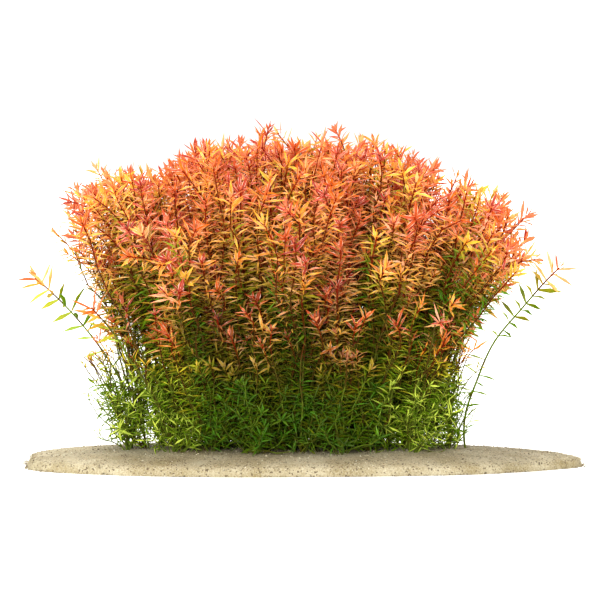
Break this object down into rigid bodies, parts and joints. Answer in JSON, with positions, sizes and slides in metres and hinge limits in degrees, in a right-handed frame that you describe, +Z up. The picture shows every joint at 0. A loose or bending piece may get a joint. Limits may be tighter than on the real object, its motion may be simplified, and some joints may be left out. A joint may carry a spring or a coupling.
{
  "type": "rotala aquarium plant clump in a sand bed",
  "caption": "Dense fan-shaped clump of rotala stem plants, green low down and orange-red at the crown, rooted in a low flat-bottomed bed of sand.",
  "frame": {"origin": "middle of the sand bed's flat underside", "axes": "+Z up the stems, +X along the clump's long side, -Y towards the viewer of the picture"},
  "size_m": [0.4507, 0.2685, 0.2778],
  "materials": {
    "crown foliage": "thin satin leaves, orange-red at the tips turning olive lower down",
    "low foliage": "thin satin leaves, yellow-green to dark green",
    "sand": "loose pale beige sand with scattered dark grains"
  },
  "bodies": {
    "root": {"arching_stem_01": "crown foliage", "arching_stem_02": "crown foliage", "arching_stem_03": "crown foliage", "arching_stem_04": "crown foliage", "canopy_stem_01": "crown foliage", "canopy_stem_02": "crown foliage", "canopy_stem_03": "crown foliage", "canopy_stem_04": "crown foliage", "canopy_stem_05": "crown foliage", "canopy_stem_06": "crown foliage", "canopy_stem_07": "crown foliage", "canopy_stem_08": "crown foliage", "canopy_stem_09": "crown foliage", "canopy_stem_10": "crown foliage", "canopy_stem_11": "crown foliage", "canopy_stem_12": "crown foliage", "canopy_stem_13": "crown foliage", "canopy_stem_14": "crown foliage", "canopy_stem_15": "crown foliage", "canopy_stem_16": "crown foliage", "canopy_stem_17": "crown foliage", "canopy_stem_18": "crown foliage", "canopy_stem_19": "crown foliage", "canopy_stem_20": "crown foliage", "canopy_stem_21": "crown foliage", "canopy_stem_22": "crown foliage", "canopy_stem_23": "crown foliage", "canopy_stem_24": "crown foliage", "canopy_stem_25": "crown foliage", "canopy_stem_26": "crown foliage", "canopy_stem_27": "crown foliage", "canopy_stem_28": "crown foliage", "canopy_stem_29": "crown foliage", "canopy_stem_30": "crown foliage", "canopy_stem_31": "crown foliage", "canopy_stem_32": "crown foliage", "canopy_stem_33": "crown foliage", "canopy_stem_34": "crown foliage", "canopy_stem_35": "crown foliage", "canopy_stem_36": "crown foliage", "canopy_stem_37": "crown foliage", "canopy_stem_38": "crown foliage", "canopy_stem_39": "crown foliage", "canopy_stem_40": "crown foliage", "canopy_stem_41": "crown foliage", "canopy_stem_42": "crown foliage", "sand_bed": "sand", "skirt_stem_01": "low foliage", "skirt_stem_02": "low foliage", "skirt_stem_03": "low foliage", "skirt_stem_04": "low foliage", "skirt_stem_05": "low foliage", "skirt_stem_06": "low foliage", "skirt_stem_07": "low foliage", "skirt_stem_08": "low foliage", "skirt_stem_09": "low foliage", "skirt_stem_10": "low foliage", "skirt_stem_11": "low foliage", "skirt_stem_12": "low foliage"}
  },
  "joints": []
}
